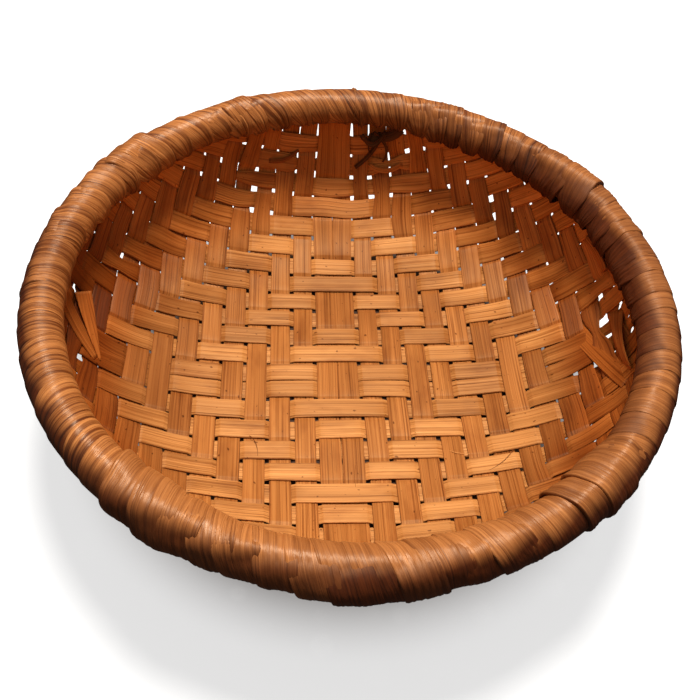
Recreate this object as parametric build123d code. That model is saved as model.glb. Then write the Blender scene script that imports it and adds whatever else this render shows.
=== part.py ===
"""Winnowing basket: flat splints woven as a diamond twill, bent up into a shallow round
bowl and held at the rim between two half-round hoops under a wound strip.

Millimetres. The origin is the centre of the underside, +Z is up and the warps run along Y.
"""

import math
import os

from build123d import *

# Splints
splint_width = 12.2
splint_thickness = 1.0
splint_gap = 2.2
centre_seam = 0.3
weave_slack = 0.1
tail_ease = 0.35
weave_shift_x = -4.6
weave_shift_y = 2.1
least_cover = 1.0
end_clearance = 0.3

# Bowl, measured along the mid-surface from the middle of the floor
floor_flat_radius = 45.5
bowl_run = 196.0
bend_power = 1.73

# Rim
rim_height = 87.0
hoop_radius = 10.0
splint_tuck = 8.5
splint_under_rim = 1.2
slot_clearance = 0.6
wrap_thickness = 1.45
wrap_slack = 0.05
wrap_turns = 72
wrap_spacing = 0.4
wrap_mouth = 1.2

# Tie at the back of the rim
tie_angle = 87.0
tie_width = 9.0
tie_thickness = 1.6

pitch = splint_width + splint_gap
half_width = splint_width / 2
layer_lift = (splint_thickness + weave_slack) / 2
mid_height = splint_thickness + weave_slack / 2
stack_half = splint_thickness + weave_slack / 2
step = 0.5
tail_step = 6.0


def slope(run):
    """Angle of the bowl from the flat, in radians, at a distance along its surface."""
    share = (run - floor_flat_radius) / (bowl_run - floor_flat_radius)
    share = min(max(share, 0.0), 1.0)
    return math.radians(90.0) * share**bend_power


def trace_bowl():
    """Radius and height of the mid-surface at every step of its run, to above the rim."""
    radius, height = [0.0], [mid_height]
    while height[-1] < rim_height + 2 * hoop_radius:
        angle = slope((len(radius) - 0.5) * step)
        radius.append(radius[-1] + step * math.cos(angle))
        height.append(height[-1] + step * math.sin(angle))
    return radius, height


bowl_radius, bowl_height = trace_bowl()


def on_profile(run):
    """Radius and height of the mid-surface at one distance along it."""
    k = int(run / step)
    part = run / step - k
    radius = bowl_radius[k] + part * (bowl_radius[k + 1] - bowl_radius[k])
    height = bowl_height[k] + part * (bowl_height[k + 1] - bowl_height[k])
    return radius, height


def run_at_height(height):
    """Distance along the bowl at which it reaches a height."""
    k = 0
    while bowl_height[k] < height:
        k += 1
    return k * step


rim_run = run_at_height(rim_height)
rim_radius = on_profile(rim_run)[0]
splint_run = rim_run + splint_tuck
wrap_inside = hoop_radius + wrap_slack
wrap_outside = wrap_inside + wrap_thickness

weave_room = rim_run - hoop_radius + splint_under_rim


def on_bowl(x, y):
    """The flat sheet point (x, y) laid on the bowl, and the inward normal there."""
    run = math.hypot(x, y)
    cx, cy = x / run, y / run
    radius, height = on_profile(run)
    angle = slope(run)
    normal = Vector(-math.sin(angle) * cx, -math.sin(angle) * cy, math.cos(angle))
    return Vector(radius * cx, radius * cy, height), normal


def centres(shift):
    """Number from the middle, counted from 1, and place of each splint of one set.

    Each side holds as many as fit between the middle and the lower edge of the hoops.
    """
    found = []
    for side in (-1, 1):
        count = int((weave_room - side * shift + splint_gap) / pitch)
        for k in range(count):
            place = k * pitch + (splint_width + centre_seam) / 2
            found.append((k + 1, shift + side * place))
    return sorted(found, key=lambda splint: splint[1])


def weft_on_top(warp_number, weft_number):
    """Diamond twill: over two, under two, mirrored about both middle lines."""
    return (warp_number + weft_number) % 4 in (3, 0)


def reach(place, crossing, side):
    """Where a splint ends on one side, cut short of a crossing that it would only nick."""
    end = math.sqrt(splint_run**2 - (abs(place) + half_width) ** 2)
    for _, other in crossing:
        near_edge = side * other - half_width
        if 0 < end - near_edge < least_cover:
            return near_edge - end_clearance
    return end


def stations(number, place, crossing, is_weft):
    """Distances along one splint where its height is set, with that height."""
    low = -reach(place, crossing, -1)
    high = reach(place, crossing, 1)
    found = []
    for other_number, other in crossing:
        if is_weft:
            raised = weft_on_top(other_number, number)
        else:
            raised = not weft_on_top(number, other_number)
        lift = layer_lift if raised else -layer_lift
        for edge in (other - half_width, other + half_width):
            if low + least_cover < edge < high - least_cover:
                found.append((edge, lift))
    return tail(low, found[0])[::-1] + found + tail(high, found[-1])


def tail(end, last):
    """Stations from the last crossing up to the trimmed end, eased off its layer."""
    start, lift = last
    lift += math.copysign(tail_ease, lift)
    count = math.ceil(abs(end - start) / tail_step)
    return [(start + k * (end - start) / count, lift) for k in range(1, count + 1)]


def section(place, along, lift, is_weft):
    """The splint's rectangular section at one station, as a closed wire."""
    sides = []
    for across in (place - half_width, place + half_width):
        sheet = (along, across) if is_weft else (across, along)
        sides.append(on_bowl(*sheet)[0])
    sheet = (along, place) if is_weft else (place, along)
    normal = on_bowl(*sheet)[1]
    low = normal * (lift - splint_thickness / 2)
    high = normal * (lift + splint_thickness / 2)
    corners = [sides[0] + low, sides[1] + low, sides[1] + high, sides[0] + high]
    return Wire.make_polygon(corners, close=True)


def splint(number, place, crossing, is_weft):
    """One woven splint as a single closed solid."""
    wires = []
    for along, lift in stations(number, place, crossing, is_weft):
        wires.append(section(place, along, lift, is_weft))
    return Solid.make_loft(wires, ruled=True)


def wall_band(half, low, high):
    """Section of the room that the wall takes, from low to high along the bowl."""
    inner, outer = [], []
    for k in range(6):
        run = low + k * (high - low) / 5
        radius, height = on_profile(run)
        angle = slope(run)
        inner.append((radius - half * math.sin(angle), height + half * math.cos(angle)))
        outer.append((radius + half * math.sin(angle), height - half * math.cos(angle)))
    points = [Vector(r, 0, z) for r, z in inner + outer[::-1]]
    return Face(Wire.make_polygon(points, close=True))


def ring_section(radius):
    """A round section of the rim bundle, standing in the XZ plane."""
    centre = Plane(origin=(rim_radius, 0, rim_height), x_dir=(1, 0, 0), z_dir=(0, -1, 0))
    return Face(Wire.make_circle(radius, centre))


def hoops():
    """The two half-round hoops, planed to lie along the wall on either side."""
    slot = wall_band(stack_half + slot_clearance, rim_run - 14, rim_run + 14)
    halves = (ring_section(hoop_radius) - slot).faces()
    halves = sorted(halves, key=lambda face: face.center().X)
    return [revolve(face, Axis.Z, 360) for face in halves]


def turn_section():
    """Section of one turn of the strip, open below where the wall goes in."""
    band = ring_section(wrap_outside) - ring_section(wrap_inside)
    mouth = wall_band(stack_half + wrap_mouth, rim_run - 16, rim_run)
    return (band - mouth).faces()[0]


def wrap():
    """The wound strip, turn by turn."""
    share = 360.0 / wrap_turns
    spacing = math.degrees(wrap_spacing / rim_radius)
    first = revolve(turn_section(), Axis.Z, share - spacing)
    return [first.rotate(Axis.Z, k * share) for k in range(wrap_turns)]


def tie():
    """A short length tied once over the finished rim."""
    outside = wrap_outside + wrap_slack + tie_thickness
    band = ring_section(outside) - ring_section(wrap_outside + wrap_slack)
    mouth = wall_band(stack_half + wrap_mouth, rim_run - 18, rim_run)
    angle = math.degrees(tie_width / rim_radius)
    loop = revolve((band - mouth).faces()[0], Axis.Z, angle)
    return loop.rotate(Axis.Z, tie_angle - angle / 2)


def write(name, shape):
    """One STEP file for each node."""
    shape.label = name
    export_step(shape, "parts/" + name + ".step")


def main():
    os.makedirs("parts", exist_ok=True)
    warps = centres(weave_shift_x)
    wefts = centres(weave_shift_y)
    for k, (number, place) in enumerate(warps):
        write("warp_%02d" % (k + 1), splint(number, place, wefts, False))
    for k, (number, place) in enumerate(wefts):
        write("weft_%02d" % (k + 1), splint(number, place, warps, True))
    hoop_inner, hoop_outer = hoops()
    write("hoop_inner", hoop_inner)
    write("hoop_outer", hoop_outer)
    write("rim_wrap", Compound(children=wrap()))
    write("rim_tie", tie())


main()
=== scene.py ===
import math
import random

import bpy
import numpy as np
from mathutils import Matrix, Vector


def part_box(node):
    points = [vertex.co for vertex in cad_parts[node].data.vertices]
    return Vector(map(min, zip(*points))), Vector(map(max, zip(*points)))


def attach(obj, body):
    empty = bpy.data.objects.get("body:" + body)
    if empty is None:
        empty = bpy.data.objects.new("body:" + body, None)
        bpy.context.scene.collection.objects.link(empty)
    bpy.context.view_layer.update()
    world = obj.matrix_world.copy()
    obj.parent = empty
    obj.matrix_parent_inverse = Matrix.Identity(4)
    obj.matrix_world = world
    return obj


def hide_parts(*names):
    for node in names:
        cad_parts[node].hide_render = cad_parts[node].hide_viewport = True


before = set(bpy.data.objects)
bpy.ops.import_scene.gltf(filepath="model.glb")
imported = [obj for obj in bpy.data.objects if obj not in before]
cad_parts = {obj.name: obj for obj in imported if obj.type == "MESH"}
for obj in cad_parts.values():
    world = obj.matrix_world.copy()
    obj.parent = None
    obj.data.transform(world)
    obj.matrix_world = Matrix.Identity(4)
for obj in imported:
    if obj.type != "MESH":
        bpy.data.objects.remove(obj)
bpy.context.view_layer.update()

# ---------------------------------------------------------------------------
# The bowl. Every splint lies on one round bowl: a flat middle that bends up
# more and more steeply until it stands upright inside the rim.
# ---------------------------------------------------------------------------
floor_flat_radius = 0.0455
bowl_run = 0.196
bend_power = 1.73
splint_thickness = 0.001
mid_height = 0.0012
bowl_traced = 0.27
bowl_slices = 1080

bowl_steps = np.linspace(0.0, bowl_traced, bowl_slices + 1)
bowl_share = np.clip((bowl_steps - floor_flat_radius) / (bowl_run - floor_flat_radius), 0, 1)
bowl_angle = math.radians(90) * bowl_share**bend_power
step_length = np.diff(bowl_steps)
bowl_radius = np.concatenate([[0.0], np.cumsum(np.cos(bowl_angle[1:]) * step_length)])
bowl_height = np.concatenate([[0.0], np.cumsum(np.sin(bowl_angle[1:]) * step_length)]) + mid_height


def on_bowl(x, y, lift):
    """Points of the flat mat at (x, y) laid on the bowl, raised by lift off its mid-surface."""
    run = np.maximum(np.hypot(x, y), 1e-9)
    radius = np.interp(run, bowl_steps, bowl_radius)
    height = np.interp(run, bowl_steps, bowl_height)
    angle = np.interp(run, bowl_steps, bowl_angle)
    radius = radius - lift * np.sin(angle)
    height = height + lift * np.cos(angle)
    return np.stack([radius * x / run, radius * y / run, height], axis=-1)


# ---------------------------------------------------------------------------
# Splint wood. Flat strips shaved from a log along the grain: straight fibre
# lines from end to end, a dull sheen, paler wefts and redder warps.
# ---------------------------------------------------------------------------
def give(tree, node, **inputs):
    """Sets a node's inputs, each to a value or to another node's socket."""
    for name, value in inputs.items():
        socket = node.inputs[name.replace("_", " ")]
        if isinstance(value, bpy.types.NodeSocket):
            tree.links.new(value, socket)
        else:
            socket.default_value = value


def add(tree, kind, settings=(), **inputs):
    """A node with its settings and inputs."""
    node = tree.nodes.new(kind)
    for name, value in settings:
        setattr(node, name, value)
    give(tree, node, **inputs)
    return node


def new_material(name):
    """A material with its node tree and its shader."""
    material = bpy.data.materials.new(name)
    material.use_nodes = True
    return material, material.node_tree, material.node_tree.nodes["Principled BSDF"]


def attribute(tree, name):
    return add(tree, "ShaderNodeAttribute", [("attribute_name", name)]).outputs["Fac"]


def raised(tree, height, strength, depth):
    """Normal of a surface that the height raises by up to depth."""
    return add(tree, "ShaderNodeBump", Height=height, Strength=strength, Distance=depth).outputs["Normal"]


def colour_ramp(tree, value, stops):
    """A colour that goes by the value; a stop is a place from 0 to 1 and its colour."""
    node = add(tree, "ShaderNodeValToRGB", Fac=value)
    elements = node.color_ramp.elements
    while len(elements) < len(stops):
        elements.new(0.5)
    for element, (place, colour) in zip(elements, stops):
        element.position = place
        element.color = (*colour, 1.0)
    return node.outputs["Color"]


def layered(tree, colour, layers):
    """A colour multiplied by layers; a layer is its strength, the value it goes by, and its stops."""
    blend = [("data_type", "RGBA"), ("blend_type", "MULTIPLY")]
    for strength, value, stops in layers:
        node = add(tree, "ShaderNodeMix", blend, Factor=strength)
        tree.links.new(colour, node.inputs[6])
        tree.links.new(colour_ramp(tree, value, stops), node.inputs[7])
        colour = node.outputs[2]
    return colour


def splint_wood(name, pale, mid, dark, shine):
    """Fibres with darker seams, broad bands, blotches and specks, toned by place with painted shade and
    light, and tinted redder up the wall as painted warm shade.
    """
    material, tree, shader = new_material(name)
    uv = add(tree, "ShaderNodeUVMap", [("uv_map", "UVMap")]).outputs["UV"]

    def stretched(along, across, detail, rough):
        """Noise drawn out along the grain: how often it changes in a metre each way."""
        drawn = add(tree, "ShaderNodeMapping", Vector=uv, Scale=(along, across, 1.0)).outputs["Vector"]
        noise = add(tree, "ShaderNodeTexNoise", [("noise_dimensions", "2D")], Vector=drawn, Scale=1.0)
        give(tree, noise, Detail=detail, Roughness=rough)
        return noise.outputs["Fac"]

    fibres = stretched(7.0, 1050.0, 2.0, 0.5)
    seams = stretched(3.0, 560.0, 0.0, 0.5)
    bands = stretched(5.0, 150.0, 2.0, 0.5)
    blotches = stretched(22.0, 60.0, 3.0, 0.6)
    specks = stretched(260.0, 420.0, 1.0, 0.4)
    tone, wall_shade_tint = attribute(tree, "tone"), attribute(tree, "wall_shade_tint")

    clear, seam = (1.0, 1.0, 1.0), (0.42, 0.3, 0.2)
    # The tone layer carries painted shade and light as well as each splint's own tone; the last layer is
    # the painted warm shade that reddens the wall
    layers = (
        (0.6, seams, [(0.43, clear), (0.46, seam), (0.475, seam), (0.505, clear)]),
        (1.0, bands, [(0.3, (0.8, 0.74, 0.66)), (0.7, (1.1, 1.09, 1.08))]),
        (0.8, blotches, [(0.28, (0.72, 0.62, 0.55)), (0.5, clear)]),
        (0.8, specks, [(0.17, (0.25, 0.14, 0.08)), (0.22, clear)]),
        (1.0, tone, [(0.0, (0.3, 0.17, 0.08)), (0.5, clear), (1.0, (1.3, 1.36, 1.45))]),
        (1.0, wall_shade_tint, [(0.0, clear), (1.0, (1.03, 0.8, 0.57))]),
    )
    fibre_colour = colour_ramp(tree, fibres, [(0.24, dark), (0.42, mid), (0.66, pale)])
    dull = add(tree, "ShaderNodeMapRange", Value=fibres, To_Min=0.58, To_Max=0.4).outputs["Result"]
    give(tree, shader, Base_Color=layered(tree, fibre_colour, layers), Roughness=dull)
    give(tree, shader, Normal=raised(tree, fibres, 0.55, 0.0004))
    give(tree, shader, Specular_IOR_Level=shine, Specular_Tint=(1.0, 0.82, 0.5, 1.0))
    grain = add(tree, "ShaderNodeTangent", [("direction_type", "UV_MAP"), ("uv_map", "UVMap")])
    give(tree, shader, Tangent=grain.outputs["Tangent"], Anisotropic=0.8, Anisotropic_Rotation=0.25)
    return material


warp_colours = (0.57, 0.213, 0.053), (0.49, 0.167, 0.038), (0.26, 0.072, 0.014)
weft_colours = (0.70, 0.298, 0.088), (0.60, 0.233, 0.060), (0.33, 0.108, 0.024)
warp_wood = splint_wood("warp_wood", *warp_colours, shine=0.25)
weft_wood = splint_wood("weft_wood", *weft_colours, shine=0.2)

# ---------------------------------------------------------------------------
# Warps and wefts. Flat splints in a twill that is mirrored about both middle
# lines: over two, under two, stepping one place at each row. Each one floats
# a little off the mat where it passes over its neighbours.
# ---------------------------------------------------------------------------
pitch = 0.0144
splint_width = 0.0122
centre_seam = 0.0003
splint_run = 0.2185
weave_room = 0.201
mat_middle = (-0.0046, 0.0021)
layer_lift = 0.00062
# A splint changes layer over this run each side of a gap, with a row of points at each share of it
crossing_ease = 0.0017
crossing_rows = np.array([-1.1, -0.75, -0.4, 0.0, 0.4, 0.75, 1.1])
longest_step = 0.0048
# A wander is so many waves, which together seldom go past this height
wander_waves, wander_peak = 3, 1.8
# A float bows by this much for each crossing that it spans, and less where it passes below
bow = 0.00012
bow_below_on_floor = 0.15
bow_below_on_wall = 0.6
floor_end = 0.12
# A splint's face is a little crowned
crown = 0.00006
# Where the splints start to loosen up the wall, and over what run
loose_from, loose_over = 0.095, 0.06
# How far a thin spot reaches, and the shift in the grain from one splint to the next
thin_reach = 0.009
grain_apart = 0.013
# Where the wall's splints start to be painted redder, for warm bounce light in the wall's shade, and over
# what radius
wall_shade_tint_from, wall_shade_tint_over = 0.12, 0.024


def splint_places(shift):
    """Number from the middle and place of each splint of one set, in order."""
    found = []
    for side in (-1, 1):
        count = int((weave_room - side * shift + pitch - splint_width) / pitch)
        for k in range(count):
            found.append((k + 1, shift + side * (k * pitch + (splint_width + centre_seam) / 2)))
    return sorted(found, key=lambda splint: splint[1])


def on_top(number, other, is_weft):
    """Whether a splint passes over the other one, seen from inside the bowl."""
    weft_over = (number + other) % 4 in (3, 0)
    return weft_over if is_weft else not weft_over


def floats(number, crossing, end, is_weft):
    """Stretches between changes of layer: start, stop, and +1 above or -1 below."""
    found = []
    for other, place in crossing:
        if abs(place) - splint_width / 2 > end:
            continue
        level = 1 if on_top(number, other, is_weft) else -1
        if found and found[-1][2] == level:
            found[-1][1] = place + pitch / 2
        else:
            found.append([place - pitch / 2, place + pitch / 2, level])
    found[0][0] = min(found[0][0], -end)
    found[-1][1] = max(found[-1][1], end)
    for first, second in zip(found, found[1:]):
        middle = (first[1] + second[0]) / 2
        first[1] = second[0] = middle
    return found


def smooth(value):
    """From 0 to 1, easing in and out."""
    value = np.clip(value, 0.0, 1.0)
    return value * value * (3 - 2 * value)


def hump(apart, reach):
    """1 where apart is 0, and next to nothing from twice the reach."""
    return np.exp(-((apart / reach) ** 2))


def wander(rng, places, size, shortest, longest):
    """A slow, seeded wobble along a strip."""
    total = np.zeros_like(places)
    for _ in range(wander_waves):
        wave = rng.uniform(shortest, longest)
        total += rng.uniform(0.4, 1.0) * np.sin(2 * math.pi * (places / wave + rng.random()))
    return size * total / wander_peak


def stations(spans, end):
    """Places along a splint: close together where it changes layer, wide between."""
    found = [-end, end]
    for first in spans[:-1]:
        found += list(first[1] + crossing_ease * crossing_rows)
    found = sorted(p for p in found if -end <= p <= end)
    filled = [found[0]]
    for place in found[1:]:
        parts = math.ceil((place - filled[-1]) / longest_step)
        filled += list(np.linspace(filled[-1], place, parts + 1)[1:])
    return np.array(filled)


def splint_section():
    """Closed section: share of the half width, and share of the half thickness."""
    across = (-0.985, -0.93, -0.5, 0.0, 0.5, 0.93, 0.985)
    rounded = (0.45, 1.0, 1.0, 1.0, 1.0, 1.0, 0.45)
    top = list(zip(across, rounded))
    return [(-1.0, 0.0)] + top + [(1.0, 0.0)] + [(-a, -b) for a, b in top]


def splint_mesh(name, edges, tones, uvs, material, forward):
    """A splint from its lengthwise edges, each a row of points, with both ends closed."""
    points = np.stack(edges, axis=1)
    rows, columns = points.shape[:2]
    faces = []
    for i in range(rows - 1):
        for j in range(columns):
            k = (j + 1) % columns
            here, ahead = i * columns, (i + 1) * columns
            faces.append((here + j, ahead + j, ahead + k, here + k))
    faces.append(tuple(range(columns)))
    faces.append(tuple(rows * columns - 1 - j for j in range(columns)))
    if not forward:
        faces = [face[::-1] for face in faces]
    mesh = bpy.data.meshes.new(name)
    mesh.from_pydata([tuple(p) for p in points.reshape(-1, 3)], [], faces)
    mesh.polygons.foreach_set("use_smooth", [True] * len(mesh.polygons))
    mesh.materials.append(material)
    mesh.update()
    tones = np.stack(tones, axis=1).reshape(-1)
    mesh.attributes.new("tone", "FLOAT", "POINT").data.foreach_set("value", tones)
    # Painted warm shade: the wall is painted redder from this radius out
    wall_shade_tint = smooth((np.hypot(points[..., 0], points[..., 1]) - wall_shade_tint_from) / wall_shade_tint_over).reshape(-1)
    mesh.attributes.new("wall_shade_tint", "FLOAT", "POINT").data.foreach_set("value", wall_shade_tint)
    corner = np.empty(len(mesh.loops), dtype=np.int32)
    mesh.loops.foreach_get("vertex_index", corner)
    uvs = np.stack(uvs, axis=1).reshape(-1, 2)
    mesh.uv_layers.new(name="UVMap").data.foreach_set("uv", uvs[corner].astype(np.float32).ravel())
    piece = bpy.data.objects.new(name, mesh)
    bpy.context.scene.collection.objects.link(piece)
    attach(piece, "root")
    return piece


# Places on the wall where the splints have drawn apart or worn thin: across and along in
# pitches from the middle of the mat, and by how much the warps and the wefts are narrower
thin_spots = (
    (-3.96, 9.11, 0.0034, 0.0034),
    (-3.89, 10.28, 0.002, 0.002),
    (-2.89, 10.11, 0.002, 0.002),
    (-1.45, 11.43, 0.0008, 0.0098),
    (-0.95, 12.91, 0.001, 0.003),
    (1.05, 12.95, 0.001, 0.003),
    (1.5, 10.9, 0.0026, 0.0026),
    (1.9, 10.05, 0.0036, 0.002),
    (2.93, 11.43, 0.001, 0.0085),
    (4.07, 11.9, 0.003, 0.003),
    (4.5, 12.43, 0.0, 0.006),
    (2.78, 9.9, 0.0016, 0.0016),
    (-3.52, 12.1, 0.002, 0.002),
    (-4.93, 10.43, 0.001, 0.006),
    (5.68, 10.26, 0.0016, 0.0016),
    (-6.4, 10.4, 0.0026, 0.0026),
    (-9.2, 5.1, 0.0026, 0.0026),
    (-9.93, 4.43, 0.0, 0.004),
    (-11.02, -1.08, 0.0062, 0.0062),
    (-11.67, 1.19, 0.0045, 0.0045),
    (-12.56, 1.24, 0.003, 0.003),
    (8.6, 8.7, 0.0026, 0.0026),
    (7.93, 8.43, 0.001, 0.006),
    (12.2, 2.3, 0.0066, 0.005),
    (11.55, 0.5, 0.0074, 0.0052),
    (12.1, 0.42, 0.0055, 0.0022),
    (10.93, -1.0, 0.004, 0.002),
    (13.3, -0.3, 0.005, 0.005),
)

# Painted shade and painted light: how much darker, or paler, the splints are painted at each place: one row
# for each run out from the middle of the bowl, one value for each direction
light_and_shade_at = (15, 45, 75, 105, 135, 165, 195, 225, 270, 315, 345)
light_and_shade_runs = (0.0, 0.035, 0.0625, 0.0875, 0.11, 0.13, 0.15, 0.172)
painted_light_and_shade = (
    (-0.04, -0.04, -0.04, -0.04, -0.04, -0.04, -0.04, -0.04, -0.04, -0.04, -0.04),
    (-0.04, -0.06, -0.09, -0.08, -0.09, -0.06, 0.0, -0.02, -0.015, -0.03, -0.03),
    (-0.09, -0.11, -0.14, -0.12, -0.09, -0.1, -0.04, -0.03, -0.015, -0.09, -0.07),
    (-0.13, -0.19, -0.165, -0.16, -0.157, -0.135, -0.095, -0.01, -0.02, -0.09, -0.13),
    (-0.015, -0.06, -0.08, -0.12, -0.2, -0.22, -0.2, -0.08, -0.01, -0.095, -0.1),
    (-0.12, -0.11, -0.11, -0.157, -0.164, -0.34, -0.31, -0.185, -0.2, -0.21, -0.3),
    (-0.31, -0.25, -0.01, -0.065, -0.34, -0.42, -0.38, -0.33, -0.3, -0.4, -0.44),
    (0.16, 0.28, 0.25, 0.0, 0.03, -0.36, -0.34, -0.3, -0.25, -0.3, -0.26),
)


def light_and_shade_tone(x, y):
    """Change of tone at points of the flat mat: painted shade and painted light."""
    direction = np.degrees(np.arctan2(y, x))
    rows = np.stack([np.interp(direction, light_and_shade_at, row, period=360) for row in painted_light_and_shade])
    step = np.interp(np.hypot(x, y), light_and_shade_runs, np.arange(len(light_and_shade_runs)))
    first = np.minimum(step.astype(int), len(light_and_shade_runs) - 2)
    places = np.arange(len(step))
    return rows[first, places] * (first + 1 - step) + rows[first + 1, places] * (step - first)


def weave(kind, count, number, place, crossing, material, seed):
    """One splint as a piece that stands for its CAD node."""
    is_weft = kind == "weft"
    rng = random.Random(seed)
    end = math.sqrt(splint_run**2 - (abs(place) + splint_width / 2) ** 2)
    spans = floats(number, crossing, end, is_weft)
    along = stations(spans, end)
    run = np.hypot(along, place)
    lift = np.zeros_like(along)
    for start, stop, level in spans:
        inside = (along >= start) & (along <= stop)
        near = np.minimum(along - start, stop - along) / crossing_ease
        share = (along - start) / (stop - start)
        crossed = max(1, round((stop - start) / pitch))
        arch = bow * (crossed - 0.4) * np.sin(math.pi * share)
        if level < 0:
            arch = arch * np.where(run < floor_end, bow_below_on_floor, bow_below_on_wall)
        lift = np.where(inside, level * (layer_lift * smooth(near) + arch), lift)
    wall = smooth((run - loose_from) / loose_over)
    spread = 1.0 + rng.uniform(0.07, 0.17) * wall
    width = splint_width * rng.uniform(0.96, 1.05) * spread + wander(rng, along, 0.00022, 0.04, 0.11)
    width = width + wall * wander(rng, along, 0.0007, 0.025, 0.08)
    for x, y, warp_less, weft_less in thin_spots:
        far, off, less = (x, y, weft_less) if is_weft else (y, x, warp_less)
        spot = mat_middle if is_weft else mat_middle[::-1]
        apart = np.hypot(along - far * pitch - spot[0], place - off * pitch - spot[1])
        width = width - less * hump(apart, thin_reach)
    aside = wander(rng, along, 0.0004, 0.07, 0.2) + wall * wander(rng, along, 0.0009, 0.035, 0.1)
    # The tone is random for each splint and along it, plus the painted shade and painted light of its place
    steady = np.full_like(along, place)
    painted_tone_change = light_and_shade_tone(along, steady) if is_weft else light_and_shade_tone(steady, along)
    tone = 0.5 + rng.uniform(-0.09, 0.09) + wander(rng, along, 0.05, 0.05, 0.2) + painted_tone_change
    drift = rng.uniform(0, 50)
    points, tones, uvs = [], [], []
    for a, b in splint_section():
        across = place + aside + a * width / 2
        height = lift + b * splint_thickness / 2 + crown * (1 - a * a)
        points.append(on_bowl(along, across, height) if is_weft else on_bowl(across, along, height))
        tones.append(tone)
        over = np.full_like(along, a * splint_width / 2 + grain_apart * seed)
        uvs.append(np.stack([along + drift, over], axis=-1))
    piece = splint_mesh("%s_splint_%02d" % (kind, count), points, tones, uvs, material, is_weft)
    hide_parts("%s_%02d" % (kind, count))


warp_places = splint_places(mat_middle[0])
weft_places = splint_places(mat_middle[1])
for kind, places, crossing, wood, first_seed in (
    ("warp", warp_places, weft_places, warp_wood, 100),
    ("weft", weft_places, warp_places, weft_wood, 200),
):
    for k, (number, place) in enumerate(places):
        weave(kind, k + 1, number, place, crossing, wood, first_seed + k)


# ---------------------------------------------------------------------------
# Loose splints. A few splints on the wall have torn or slipped out of their
# place, and fine splinters have lifted from the floor.
# ---------------------------------------------------------------------------
loose_steps = 22
loose_thickness = 0.0008


def loose_splint(name, material, route, widths, twist, tone):
    """A loose strip bent through three places, each across and along in pitches, and lift."""
    share = np.linspace(0.0, 1.0, loose_steps)[:, None]
    first, middle, last = np.array(route)
    bent = (1 - share) ** 2 * first + 2 * share * (1 - share) * middle + share**2 * last
    x = bent[:, 0] * pitch + mat_middle[0]
    y = bent[:, 1] * pitch + mat_middle[1]
    centre = on_bowl(x, y, bent[:, 2])
    up = on_bowl(x, y, bent[:, 2] + splint_thickness) - centre
    ahead = np.gradient(centre, axis=0)
    ahead = ahead / np.linalg.norm(ahead, axis=1)[:, None]
    aside = np.cross(up, ahead)
    aside = aside / np.linalg.norm(aside, axis=1)[:, None]
    up = np.cross(ahead, aside)
    turn = np.radians(twist[0] + (twist[1] - twist[0]) * share)
    flat = np.cos(turn) * aside + np.sin(turn) * up
    face = np.cos(turn) * up - np.sin(turn) * aside
    width = widths[0] + (widths[1] - widths[0]) * share
    thick = np.minimum(width * 0.3, loose_thickness)
    length = np.linalg.norm(centre[-1] - centre[0]) * share[:, 0]
    edges, tones, uvs = [], [], []
    for a, b in splint_section():
        edges.append(centre + a * width / 2 * flat + b * thick / 2 * face)
        tones.append(np.full_like(length, tone))
        uvs.append(np.stack([length + 10 * tone, a * width[:, 0] / 2 + route[0][0]], axis=-1))
    return splint_mesh(name, edges, tones, uvs, material, True)


# Name, wood, tone, widths and twists in degrees at the two ends, and the three places
torn = (
    ("torn_left", warp_wood, 0.45, (0.0135, 0.001), (8, 20),
     ((-11.75, 1.85, 0.004), (-10.9, 0.6, 0.0055), (-10.0, -0.6, 0.0015))),
    ("slipped_left", weft_wood, 0.22, (0.012, 0.009), (6, -4),
     ((-12.9, 0.9, 0.0015), (-11.5, 0.3, 0.003), (-10.15, -0.45, 0.001))),
    ("slipped_right", warp_wood, 0.4, (0.0115, 0.011), (0, -10),
     ((10.1, 2.2, -0.002), (11.2, -0.4, 0.0035), (12.1, -3.0, 0.0006))),
    ("torn_right", warp_wood, 0.42, (0.009, 0.005), (-20, 35),
     ((12.7, 0.7, 0.0015), (12.3, -1.0, 0.0055), (12.4, -2.7, 0.001))),
    ("bent_right", warp_wood, 0.5, (0.005, 0.009), (0, 20),
     ((12.4, 4.9, 0.0015), (12.9, 4.0, 0.003), (12.75, 2.9, 0.0015))),
    ("broken_back", weft_wood, 0.62, (0.0032, 0.0038), (0, 30),
     ((1.9, 11.5, 0.002), (2.7, 10.9, 0.005), (3.6, 11.4, 0.002))),
    ("sliver_back", warp_wood, 0.2, (0.003, 0.002), (0, 20),
     ((-3.4, 11.4, 0.0015), (-2.6, 11.4, 0.004), (-1.9, 12.1, 0.0015))),
    ("splinter_1", warp_wood, 0.1, (0.0004, 0.0002), (0, 0),
     ((-3.65, -2.8, 0.0014), (-3.3, -3.1, 0.003), (-3.3, -3.75, 0.0013))),
    ("splinter_2", warp_wood, 0.1, (0.0004, 0.0002), (0, 0),
     ((6.8, -3.9, 0.0013), (6.4, -4.5, 0.002), (5.7, -4.75, 0.0013))),
    ("splinter_3", warp_wood, 0.15, (0.0003, 0.0002), (0, 0),
     ((0.5, -4.2, 0.0014), (0.4, -5.0, 0.0018), (0.5, -5.6, 0.0013))),
    ("splinter_4", weft_wood, 0.8, (0.0004, 0.0002), (0, 0),
     ((4.3, -3.6, 0.0013), (4.6, -3.9, 0.003), (5.2, -3.8, 0.0012))),
)
for name, wood, tone, widths, twist, route in torn:
    piece = loose_splint(name, wood, route, widths, twist, tone)

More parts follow.
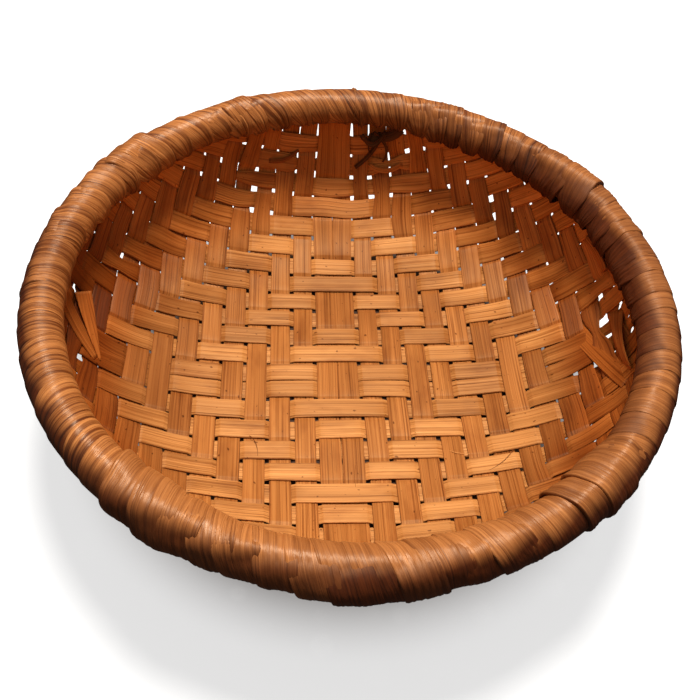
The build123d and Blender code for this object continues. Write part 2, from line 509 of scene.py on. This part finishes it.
# ---------------------------------------------------------------------------
# Hoops. Two half-round rods of split wood, bent to a ring inside and outside
# the splint ends. They show only where the wound strip leaves them bare.
# ---------------------------------------------------------------------------
hoop_wood, hoop_tree, hoop_shader = new_material("hoop_wood")
hoop_place = add(hoop_tree, "ShaderNodeTexCoord").outputs["Object"]
pores = add(hoop_tree, "ShaderNodeTexNoise", Vector=hoop_place, Scale=420.0, Detail=4.0).outputs["Fac"]
hoop_colour = colour_ramp(hoop_tree, pores, [(0.35, (0.12, 0.05, 0.018)), (0.68, (0.3, 0.15, 0.06))])
give(hoop_tree, hoop_shader, Base_Color=hoop_colour, Roughness=0.7)
give(hoop_tree, hoop_shader, Normal=raised(hoop_tree, pores, 0.5, 0.0003))
for node in ("hoop_inner", "hoop_outer"):
    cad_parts[node].data.materials.clear()
    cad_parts[node].data.materials.append(hoop_wood)

# ---------------------------------------------------------------------------
# Rim wrap. One long fibrous strip wound slantwise over both hoops, turn after
# turn, each turn lying on the edge of the one before. It is pleated lengthwise
# into fine ribs and gathers where it passes through the weave.
# ---------------------------------------------------------------------------
hoop_low, hoop_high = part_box("hoop_outer")
rim_height = (hoop_low[2] + hoop_high[2]) / 2
hoop_radius = (hoop_high[2] - hoop_low[2]) / 2
rim_radius = hoop_high[0] - hoop_radius
turns = 72
strip_width = 0.0205
strip_base = hoop_radius + 0.0004
path_start = math.radians(-84)
path_end = math.radians(262)
path_points = 52
# The strip's ribs: how often they change along it in a metre, and how many across it
rib_rates = (12.0, 14.0)
# The strip thins towards both edges over 1 / 14 of its width
edge_sharpness = 14.0


def named(tree, name, kind="FLOAT"):
    """The socket of a named attribute."""
    node = add(tree, "GeometryNodeInputNamedAttribute", [("data_type", kind)], Name=name)
    return node.outputs["Attribute"]


def stored(tree, geometry, name, value, kind="FLOAT"):
    """The geometry with a value stored on its points."""
    settings = [("data_type", kind)]
    node = add(tree, "GeometryNodeStoreNamedAttribute", settings, Geometry=geometry, Name=name, Value=value)
    return node.outputs[0]


def math_node(tree, operation, first, second=0.0):
    """The result of one sum; its two inputs are values or other nodes' sockets."""
    node = add(tree, "ShaderNodeMath", [("operation", operation)])
    for socket, value in zip(node.inputs, (first, second)):
        if isinstance(value, bpy.types.NodeSocket):
            tree.links.new(value, socket)
        else:
            socket.default_value = value
    return node.outputs[0]


def strip_tree():
    """Sweeps a thin pleated strip along every path, lumpy as the rod and splints under it."""
    tree = bpy.data.node_groups.new("wound_strip", "GeometryNodeTree")
    sockets = tree.interface
    sockets.new_socket("Paths", in_out="INPUT", socket_type="NodeSocketGeometry")
    for name, kind in (
        ("Ring Radius", "NodeSocketFloat"),
        ("Ring Height", "NodeSocketFloat"),
        ("Wood Radius", "NodeSocketFloat"),
        ("Points Across", "NodeSocketInt"),
        ("Thickness", "NodeSocketFloat"),
        ("Edge Lift", "NodeSocketFloat"),
        ("Edge Tuck", "NodeSocketFloat"),
        ("Pleat Height", "NodeSocketFloat"),
        ("Lump Height", "NodeSocketFloat"),
        ("Lump Size", "NodeSocketFloat"),
        ("Material", "NodeSocketMaterial"),
    ):
        sockets.new_socket(name, in_out="INPUT", socket_type=kind)
    sockets.new_socket("Strip", in_out="OUTPUT", socket_type="NodeSocketGeometry")
    given = tree.nodes.new("NodeGroupInput").outputs

    # The strip's section: thin, rounded at both edges, with one edge raised on the last turn
    steps = math_node(tree, "SUBTRACT", given["Points Across"], 1.0)
    gap = add(tree, "ShaderNodeCombineXYZ", Y=math_node(tree, "DIVIDE", 1.0, steps)).outputs[0]
    row = add(tree, "GeometryNodeMeshLine", Count=given["Points Across"], Start_Location=(0, -0.5, 0))
    give(tree, row, Offset=gap)
    place = add(tree, "GeometryNodeInputPosition").outputs[0]
    share = add(tree, "ShaderNodeSeparateXYZ", Vector=place).outputs["Y"]
    from_edge = math_node(tree, "SUBTRACT", 0.5, math_node(tree, "ABSOLUTE", share))
    rounded = math_node(tree, "MINIMUM", math_node(tree, "MULTIPLY", from_edge, edge_sharpness), 1.0)
    shelf = math_node(tree, "MULTIPLY", math_node(tree, "SUBTRACT", 0.5, share), given["Edge Lift"])
    depth = math_node(tree, "ADD", math_node(tree, "MULTIPLY", rounded, given["Thickness"]), shelf)
    inner = math_node(tree, "MINIMUM", math_node(tree, "MULTIPLY", from_edge, steps), 1.0)
    last = math_node(tree, "SUBTRACT", 1.0, inner)
    depth = math_node(tree, "SUBTRACT", depth, math_node(tree, "MULTIPLY", last, given["Edge Tuck"]))
    profile = stored(tree, row.outputs[0], "depth", depth)
    profile = stored(tree, profile, "across", math_node(tree, "ADD", share, 0.5))
    shaped = add(tree, "ShaderNodeCombineXYZ", X=depth, Y=share).outputs[0]
    profile = add(tree, "GeometryNodeSetPosition", Geometry=profile, Position=shaped).outputs[0]
    profile = add(tree, "GeometryNodeMeshToCurve", Mesh=profile).outputs[0]
    profile = add(tree, "GeometryNodeSetSplineCyclic", Geometry=profile, Cyclic=True).outputs[0]

    # The section is swept along each path, with its length and grain kept for the finish
    path = add(tree, "GeometryNodeMeshToCurve", Mesh=given["Paths"]).outputs[0]
    path = stored(tree, path, "along", add(tree, "GeometryNodeSplineParameter").outputs["Length"])
    out = named(tree, "out", "FLOAT_VECTOR")
    path = add(tree, "GeometryNodeSetCurveNormal", [("mode", "FREE")], Curve=path, Normal=out).outputs[0]
    grain = add(tree, "GeometryNodeInputTangent").outputs[0]
    path = stored(tree, path, "grain", grain, "FLOAT_VECTOR")
    width = named(tree, "width")
    strip = add(tree, "GeometryNodeCurveToMesh", Curve=path, Profile_Curve=profile, Scale=width)
    give(tree, strip, Fill_Caps=True)
    strip = strip.outputs[0]

    def pleats(along_rate, across_rate, detail):
        """Height of folds that run along the strip, another pattern on each turn."""
        length = math_node(tree, "MULTIPLY", named(tree, "along"), along_rate)
        over = math_node(tree, "MULTIPLY", named(tree, "across"), across_rate)
        spot = add(tree, "ShaderNodeCombineXYZ", X=length, Y=over, Z=named(tree, "lot")).outputs[0]
        noise = add(tree, "ShaderNodeTexNoise", Vector=spot, Scale=1.0, Detail=detail, Roughness=0.5)
        return math_node(tree, "SUBTRACT", noise.outputs["Fac"], 0.5)

    ribs = pleats(*rib_rates, 1.0)
    folds = pleats(22.0, 2.6, 0.0)
    gathered = math_node(tree, "DIVIDE", strip_width, width)
    swing = math_node(tree, "MULTIPLY", math_node(tree, "ADD", ribs, folds), given["Pleat Height"])
    swing = math_node(tree, "MULTIPLY", swing, gathered)
    per_size = math_node(tree, "DIVIDE", 1.0, given["Lump Size"])
    lump = add(tree, "ShaderNodeTexNoise", Vector=place, Scale=per_size, Detail=1.5, Roughness=0.45)
    lump = math_node(tree, "SUBTRACT", lump.outputs["Fac"], 0.5)
    swing = math_node(tree, "ADD", swing, math_node(tree, "MULTIPLY", lump, given["Lump Height"]))

    def vector(operation, first, second=None, scale=None):
        node = add(tree, "ShaderNodeVectorMath", [("operation", operation)])
        tree.links.new(first, node.inputs[0])
        if second is not None:
            tree.links.new(second, node.inputs[1])
        if scale is not None:
            tree.links.new(scale, node.inputs["Scale"])
        return node.outputs[0]

    # Every point keeps its place round the rod and is set at its reach from the rod's middle
    parts = add(tree, "ShaderNodeSeparateXYZ", Vector=place).outputs
    level = add(tree, "ShaderNodeCombineXYZ", X=parts["X"], Y=parts["Y"]).outputs[0]
    ring = vector("SCALE", vector("NORMALIZE", level), scale=given["Ring Radius"])
    ring = vector("ADD", ring, add(tree, "ShaderNodeCombineXYZ", Z=given["Ring Height"]).outputs[0])
    outward = vector("NORMALIZE", vector("SUBTRACT", place, ring))
    reach = math_node(tree, "ADD", named(tree, "reach"), swing)
    reach = math_node(tree, "MAXIMUM", reach, given["Wood Radius"])
    reach = math_node(tree, "ADD", reach, math_node(tree, "MULTIPLY", named(tree, "depth"), width))
    laid = vector("ADD", ring, vector("SCALE", outward, scale=reach))
    strip = add(tree, "GeometryNodeSetPosition", Geometry=strip, Position=laid).outputs[0]
    strip = add(tree, "GeometryNodeSetShadeSmooth", Geometry=strip).outputs[0]
    strip = add(tree, "GeometryNodeRealizeInstances", Geometry=strip).outputs[0]
    strip = add(tree, "GeometryNodeSetMaterial", Geometry=strip, Material=given["Material"]).outputs[0]
    tree.links.new(strip, tree.nodes.new("NodeGroupOutput").inputs[0])
    return tree


def laid_strip(name, tree, paths, values):
    """Runs the tree on a set of paths and leaves a plain mesh.

    Each path is a list of point, outward direction, width, tone, number of its lot, and
    distance from the rim's middle line.
    """
    mesh = bpy.data.meshes.new(name)
    points = [row[0] for path in paths for row in path]
    edges = []
    first = 0
    for path in paths:
        edges += [(first + k, first + k + 1) for k in range(len(path) - 1)]
        first += len(path)
    mesh.from_pydata(points, edges, [])
    columns = list(zip(*[row[1:] for path in paths for row in path]))
    mesh.attributes.new("out", "FLOAT_VECTOR", "POINT").data.foreach_set("vector", np.ravel(columns[0]))
    for kept, column in zip(("width", "tone", "lot", "reach"), columns[1:]):
        mesh.attributes.new(kept, "FLOAT", "POINT").data.foreach_set("value", column)
    base = bpy.data.objects.new(name, mesh)
    bpy.context.scene.collection.objects.link(base)
    modifier = base.modifiers.new("strip", "NODES")
    modifier.node_group = tree
    for socket in tree.interface.items_tree:
        if socket.in_out == "INPUT" and socket.name in values:
            modifier[socket.identifier] = values[socket.name]
    ready = base.evaluated_get(bpy.context.evaluated_depsgraph_get())
    base.data = bpy.data.meshes.new_from_object(ready)
    base.modifiers.clear()
    base.data.name = name
    bpy.data.meshes.remove(mesh)
    return base


def strip_fibre(name, pale, mid, dark, ribbed):
    """Dried leaf: fine lines along the strip, a soft warm shine, painted shade in its rib hollows and along
    its edges.
    """
    material, tree, shader = new_material(name)
    across, tone, lot = (attribute(tree, name) for name in ("across", "tone", "lot"))
    run = add(tree, "ShaderNodeCombineXYZ", X=attribute(tree, "along"), Y=across, Z=lot).outputs[0]

    def streaks(along, over, detail):
        """Noise drawn out along the strip: how often it changes in a metre, and across."""
        drawn = add(tree, "ShaderNodeMapping", Vector=run, Scale=(along, over, 1.0)).outputs[0]
        return add(tree, "ShaderNodeTexNoise", Vector=drawn, Scale=1.0, Detail=detail).outputs["Fac"]

    fibres = streaks(22.0, 46.0, 3.0)
    ribs = streaks(*rib_rates, 1.0)
    seams = streaks(9.0, 15.0, 0.0)
    bands = streaks(16.0, 4.0, 1.0)
    waves = streaks(150.0, 12.0, 1.0)
    edge = math_node(tree, "ABSOLUTE", math_node(tree, "SUBTRACT", across, 0.5))

    clear, seam = (1.0, 1.0, 1.0), (0.36, 0.23, 0.14)
    # Painted shade: the ribs layer darkens the hollows of the pleats, the edge layer the creases where the
    # turns lap, and the tone layer carries each turn's painted shade and light
    layers = (
        (ribbed, ribs, [(0.34, (0.42, 0.3, 0.2)), (0.5, clear)]),
        (0.65 * ribbed, seams, [(0.4, clear), (0.44, seam), (0.46, seam), (0.5, clear)]),
        (1.0, bands, [(0.3, (0.74, 0.68, 0.62)), (0.7, (1.16, 1.17, 1.18))]),
        (1.0, edge, [(0.475, clear), (0.5, (0.55, 0.42, 0.32))]),
        (1.0, tone, [(0.0, (0.2, 0.1, 0.045)), (0.5, clear), (1.0, (1.3, 1.34, 1.4))]),
    )
    fibre_colour = colour_ramp(tree, fibres, [(0.3, dark), (0.46, mid), (0.68, pale)])
    dull = math_node(tree, "SUBTRACT", 0.74, math_node(tree, "MULTIPLY", tone, 0.7))
    give(tree, shader, Base_Color=layered(tree, fibre_colour, layers), Roughness=dull)
    height = math_node(tree, "ADD", math_node(tree, "MULTIPLY", waves, 2.6), fibres)
    give(tree, shader, Normal=raised(tree, height, 0.75, 0.0003))
    give(tree, shader, Specular_IOR_Level=0.5, Specular_Tint=(1.0, 0.76, 0.54, 1.0))
    grain = add(tree, "ShaderNodeAttribute", [("attribute_name", "grain")]).outputs["Vector"]
    give(tree, shader, Tangent=grain, Anisotropic=0.45, Anisotropic_Rotation=0.25)
    return material


ribbed_colours = (0.57, 0.212, 0.056), (0.42, 0.14, 0.033), (0.2, 0.052, 0.01)
smooth_colours = (0.54, 0.2, 0.055), (0.44, 0.15, 0.037), (0.27, 0.078, 0.017)
ribbed_fibre = strip_fibre("wrap_fibre_ribbed", *ribbed_colours, ribbed=1.0)
smooth_fibre = strip_fibre("wrap_fibre_smooth", *smooth_colours, ribbed=0.45)
wound = strip_tree()


def rim_point(angle, turn, distance):
    """A point off the rim's middle line, and its outward direction there."""
    out = np.stack([np.cos(turn) * np.cos(angle), np.cos(turn) * np.sin(angle), np.sin(turn)], axis=-1)
    centre = [rim_radius * np.cos(angle), rim_radius * np.sin(angle), np.full_like(angle, rim_height)]
    return np.stack(centre, axis=-1) + out * distance[..., None], out


def ring_wave(angle, height, waves, seed):
    """A smooth seeded wobble that closes on itself round the rim."""
    rng = random.Random(seed)
    total = 0.0
    for wave in waves:
        total = total + rng.uniform(0.6, 1.0) * np.sin(wave * angle + rng.uniform(0, 2 * math.pi))
    return height * total / len(waves)


# How far the strip slants at each place round the rim, in run along the rim for each unit over it
slant_at = np.radians([-180, -135, -90, 0, 55, 105, 140, 170, 180])
slants = (0.0, 0.3, 0.36, 0.12, 0.34, 0.8, 0.75, 0.15, 0.0)
# Thicker and thinner places round the rim: where in degrees, by how much, and how far they spread
swells = (
    (172, -0.003, 6),
    (129, -0.0024, 9),
    (98, -0.0028, 7),
    (85, -0.0034, 8),
    (-12, -0.0032, 9),
    (-26, -0.0034, 7),
    (-39, -0.001, 5),
    (-50, 0.0018, 5),
    (-63, -0.001, 6),
    (-82, -0.0006, 5),
    (-126, 0.002, 4),
    (-136, -0.002, 5),
    (-148, -0.003, 8),
    (-166, -0.003, 6),
    (-177, -0.0012, 5),
)
# Where the strip is creased over the rod, up from the rim's outer side, how high and how wide
crest_at = np.radians([-180, -90, 0, 90, 180])
crests = np.radians([64, 52, 112, 96, 64])
crest_height, crest_reach = 0.0012, 0.38
# Thicker over the splint ends inside the rim, the most towards one side
inner_height, inner_extra, inner_side = 0.0006, 0.003, math.radians(50)
# Slow lumps round the rim, and the place at the front where the turns sag
lump_height, lump_waves, lump_seed = 0.0026, (7, 13, 22, 29), 12
sag_depth, sag_at, sag_reach = 0.0038, math.radians(-95), math.radians(9)
# The side where the painted shade on the inner face is darkest
shaded_side = math.radians(12)


def turn_path(number, rng):
    """The middle line of one turn of the strip, with its width and tone."""
    middle = (number + rng.uniform(-0.12, 0.12)) * 2 * math.pi / turns
    wrapped = (middle + math.pi) % (2 * math.pi) - math.pi
    slant = np.interp(wrapped, slant_at, slants) + rng.uniform(-0.07, 0.07)
    turn = np.linspace(path_start, path_end, path_points)
    aside = slant * hoop_radius * (math.pi / 2 - np.clip(turn, math.radians(-20), math.radians(200)))
    aside = aside + 0.0009 * np.sin(turn * rng.uniform(0.8, 1.6) + rng.uniform(0, 6))
    angle = middle + aside / rim_radius
    inside = smooth((turn - math.radians(140)) / math.radians(90))
    under = smooth((math.radians(-25) - turn) / math.radians(55))
    crest = np.interp(wrapped, crest_at, crests) + rng.uniform(-0.22, 0.22)

    distance = strip_base + rng.uniform(-0.0001, 0.0004)
    distance = distance + crest_height * hump(turn - crest, crest_reach)
    inner = inner_height + inner_extra * (0.5 + 0.5 * math.cos(middle - inner_side))
    distance = distance + inside * inner * (1 - smooth((turn - math.radians(215)) / 0.8))
    for where, height, spread in swells:
        distance = distance + height * hump(wrapped - math.radians(where), math.radians(spread))
    lumps = ring_wave(angle, lump_height, lump_waves, lump_seed)
    distance = distance + lumps * (0.4 + 0.6 * np.cos(turn / 2) ** 2)
    sag = sag_depth * hump(wrapped - sag_at, sag_reach)
    distance = distance + sag * smooth((math.radians(70) - turn) / math.radians(60))
    points, out = rim_point(angle, turn, distance)
    width = strip_width * rng.uniform(0.92, 1.14) * (1 - 0.62 * inside**1.6 - 0.3 * under)

    # Painted shade: darker on the outer side, on the inner side, past the crest on the right and on the
    # whole right side; painted light makes the front and the back a little paler
    front, right = max(0.0, -math.sin(middle)), max(0.0, math.cos(middle))
    outer_from = math.radians(72 + 21 * front - 8 * math.cos(middle))
    outer = smooth((outer_from - turn) / math.radians(52))
    hidden = 0.5 + 0.5 * math.cos(middle - shaded_side)
    past = max(0.0, math.cos(middle - 0.25)) * smooth((turn - crest) / math.radians(32))
    tone = 0.4 + 0.04 * front + rng.uniform(-0.06, 0.06) - 0.5 * outer
    tone = tone - (0.1 + 0.24 * hidden) * inside - 0.12 * right + 0.09 * abs(math.sin(middle)) - 0.3 * past
    lot = [number * 3.7] * path_points
    rows = zip(points, out, width, tone, lot, distance)
    return [(tuple(row[0]), tuple(row[1]), *row[2:]) for row in rows]


# The strip in four quarters of the rim: the first turn of each, and its finish there
quarters = (
    ("right", -9, smooth_fibre),
    ("back", 9, ribbed_fibre),
    ("left", 27, ribbed_fibre),
    ("front", 45, smooth_fibre),
)
strip_values = {
    "Ring Radius": rim_radius,
    "Ring Height": rim_height,
    "Wood Radius": hoop_radius + 0.0003,
    "Points Across": 54,
    "Thickness": 0.016,
    "Edge Lift": 0.04,
    "Edge Tuck": 0.08,
    "Pleat Height": 0.001,
    "Lump Height": 0.0044,
    "Lump Size": 0.021,
}
for k, (name, first, fibre) in enumerate(quarters):
    rng = random.Random(400 + k)
    paths = [turn_path(number, rng) for number in range(first, first + turns // 4)]
    piece = laid_strip("rim_wrap_" + name, wound, paths, {**strip_values, "Material": fibre})
    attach(piece, "root")
    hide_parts("rim_wrap")

# ---------------------------------------------------------------------------
# Tie. A few dark strands wound over the rim at the back and knotted under its inner edge, with
# their loose ends left hanging into the bowl; the widest end is a dark sheet of painted shade under the
# rim.
# ---------------------------------------------------------------------------
tie_low, tie_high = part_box("rim_tie")
tie_angle = math.atan2(tie_low[1] + tie_high[1], tie_low[0] + tie_high[0])
tie_colours = (0.2, 0.08, 0.03), (0.12, 0.044, 0.015), (0.05, 0.017, 0.006)
tie_fibre = splint_wood("tie_fibre", *tie_colours, shine=0.2)
strand_width = 0.002
strand_tone = 0.36
end_tone = 0.3


def strand_path(aside, rng):
    """The middle line of one strand of the band, swaying a little as it goes over the rim."""
    turn = np.linspace(path_start, path_end, path_points)
    sway = 0.001 * np.sin(turn * 1.3 + aside * 900)
    angle = tie_angle + (aside + sway) / rim_radius - 0.02 * smooth(turn / 4)
    reach = np.full_like(turn, strip_base - 0.0002 + rng.uniform(0, 0.0003))
    points, out = rim_point(angle, turn, reach)
    rest = strand_width, strand_tone, 300 * aside
    return [(tuple(point), tuple(away), *rest, far) for point, away, far in zip(points, out, reach)]


rng = random.Random(77)
strands = [strand_path(aside, rng) for aside in (-0.0022, 0.0002, 0.0026)]
strand_values = {**strip_values, "Points Across": 8, "Thickness": 0.16, "Material": smooth_fibre}
band = laid_strip("rim_tie_band", wound, strands, strand_values)
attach(band, "root")
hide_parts("rim_tie")
# Each loose end: three places, across and along in pitches, and lift; its widths; its twists
ends = (
    (((2.6, 13.2, 0.004), (2.3, 12.2, 0.006), (1.15, 11.4, 0.003)), (0.0034, 0.003), (0, 40)),
    (((2.2, 13.3, 0.005), (3.3, 12.4, 0.006), (2.6, 11.6, 0.0025)), (0.0028, 0.0012), (30, -20)),
    (((1.5, 13.2, 0.006), (2.0, 12.4, 0.009), (2.7, 13.1, 0.005)), (0.0034, 0.0034), (0, 70)),
    (((2.9, 13.3, 0.006), (2.1, 12.2, 0.009), (1.7, 13.0, 0.006)), (0.0034, 0.003), (60, 0)),
    (((2.0, 13.2, 0.005), (1.8, 12.6, 0.008), (1.95, 12.1, 0.006)), (0.002, 0.0008), (20, 50)),
    # This wide end is a dark sheet laid under the rim's inner edge: painted shade in the gap there
    (((3.7, 13.2, 0.002), (3.2, 12.8, 0.005), (2.0, 13.0, 0.005)), (0.007, 0.006), (0, 30)),
)
for k, (route, widths, twist) in enumerate(ends):
    piece = loose_splint("rim_tie_end_%d" % (k + 1), tie_fibre, route, widths, twist, end_tone)
    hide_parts("rim_tie")

# ---------------------------------------------------------------------------
# Studio. A plain pale floor that glows with painted light, with a painted shadow close under the bowl,
# a pale backdrop, one soft round lamp above and a little behind, and the camera.
# ---------------------------------------------------------------------------
floor_half = 6
corners = [(x * floor_half, y * floor_half, 0) for x, y in ((-1, -1), (1, -1), (1, 1), (-1, 1))]
floor_mesh = bpy.data.meshes.new("floor")
floor_mesh.from_pydata(corners, [], [(0, 1, 2, 3)])
floor = bpy.data.objects.new("floor", floor_mesh)
bpy.context.scene.collection.objects.link(floor)
floor.visible_diffuse = False
floor.visible_glossy = False
floor_paint, floor_tree, floor_shader = new_material("pale_floor")
floor_place = add(floor_tree, "ShaderNodeTexCoord").outputs["Object"]
from_middle = add(floor_tree, "ShaderNodeVectorMath", [("operation", "LENGTH")])
floor_tree.links.new(floor_place, from_middle.inputs[0])
# Painted shadow: dark brown close under the bowl, fading to pale from 0.1 to 0.17 out; the glow is painted
# light that keeps the floor pale in the lamp's shadow
painted_shadow_fade = add(floor_tree, "ShaderNodeMapRange", [("interpolation_type", "SMOOTHSTEP")])
give(floor_tree, painted_shadow_fade, Value=from_middle.outputs["Value"], From_Min=0.1, From_Max=0.17)
painted_shadow_stops = [(0.0, (0.045, 0.02, 0.01)), (0.14, (0.06, 0.028, 0.014)), (1.0, (0.5, 0.5, 0.5))]
glow_stops = [(0.0, (0.0, 0.0, 0.0)), (0.14, (0.03, 0.016, 0.008)), (1.0, (0.66, 0.66, 0.66))]
paint = colour_ramp(floor_tree, painted_shadow_fade.outputs["Result"], painted_shadow_stops)
glow = colour_ramp(floor_tree, painted_shadow_fade.outputs["Result"], glow_stops)
give(floor_tree, floor_shader, Base_Color=paint, Emission_Color=glow, Emission_Strength=1.0, Roughness=0.9)
floor_mesh.materials.append(floor_paint)

# The sky is dim as a light, brighter from above, and pale where the camera sees it
world = bpy.data.worlds.new("studio")
world.use_nodes = True
sky_tree = world.node_tree
sky_place = add(sky_tree, "ShaderNodeTexCoord").outputs["Generated"]
sky_height = add(sky_tree, "ShaderNodeSeparateXYZ", Vector=sky_place).outputs["Z"]
glow = add(sky_tree, "ShaderNodeMapRange", Value=sky_height, From_Min=-0.15, From_Max=0.5)
give(sky_tree, glow, To_Min=0.07, To_Max=0.3)
to_camera = add(sky_tree, "ShaderNodeLightPath").outputs["Is Camera Ray"]
backdrop = math_node(sky_tree, "MULTIPLY", to_camera, 0.86)
strength = math_node(sky_tree, "MAXIMUM", backdrop, glow.outputs["Result"])
give(sky_tree, sky_tree.nodes["Background"], Color=(1.0, 0.985, 0.97, 1), Strength=strength)
bpy.context.scene.world = world

lamp_place, lamp_aim = Vector((0.05, 0.35, 1.5)), Vector((0, 0, 0.02))
lamp_light = bpy.data.lights.new("key", "AREA")
lamp_light.shape = "DISK"
lamp_light.size = 0.45
lamp_light.energy = 30
lamp_light.color = (1.0, 0.97, 0.93)
lamp = bpy.data.objects.new("key", lamp_light)
lamp.location = lamp_place
lamp.rotation_euler = (lamp_aim - lamp_place).to_track_quat("-Z", "Y").to_euler()
bpy.context.scene.collection.objects.link(lamp)

# The camera looks at a place of the mat from a distance, both measured in splint pitches
sensor_width = 36
focal_share = 842.5 / 700
azimuth, elevation, roll = math.radians(-7.169), math.radians(50.729), math.radians(5.594)
look_across, look_along, look_from = 0.593, 1.688, 36.648
camera_data = bpy.data.cameras.new("camera")
camera_data.sensor_width = sensor_width
camera_data.lens = focal_share * sensor_width
camera_data.clip_start = 0.01
camera = bpy.data.objects.new("camera", camera_data)
level = math.cos(elevation)
back = Vector((math.sin(azimuth) * level, -math.cos(azimuth) * level, math.sin(elevation)))
right = Vector((math.cos(azimuth), math.sin(azimuth), 0))
up = back.cross(right)
side = math.cos(roll) * right + math.sin(roll) * up
top = -math.sin(roll) * right + math.cos(roll) * up
target = Vector((look_across * pitch + mat_middle[0], look_along * pitch + mat_middle[1], mid_height))
turned = Matrix((side, top, back)).transposed().to_4x4()
camera.matrix_world = Matrix.Translation(target + back * look_from * pitch) @ turned
bpy.context.scene.collection.objects.link(camera)
bpy.context.scene.camera = camera
bpy.context.scene.view_settings.view_transform = "Standard"
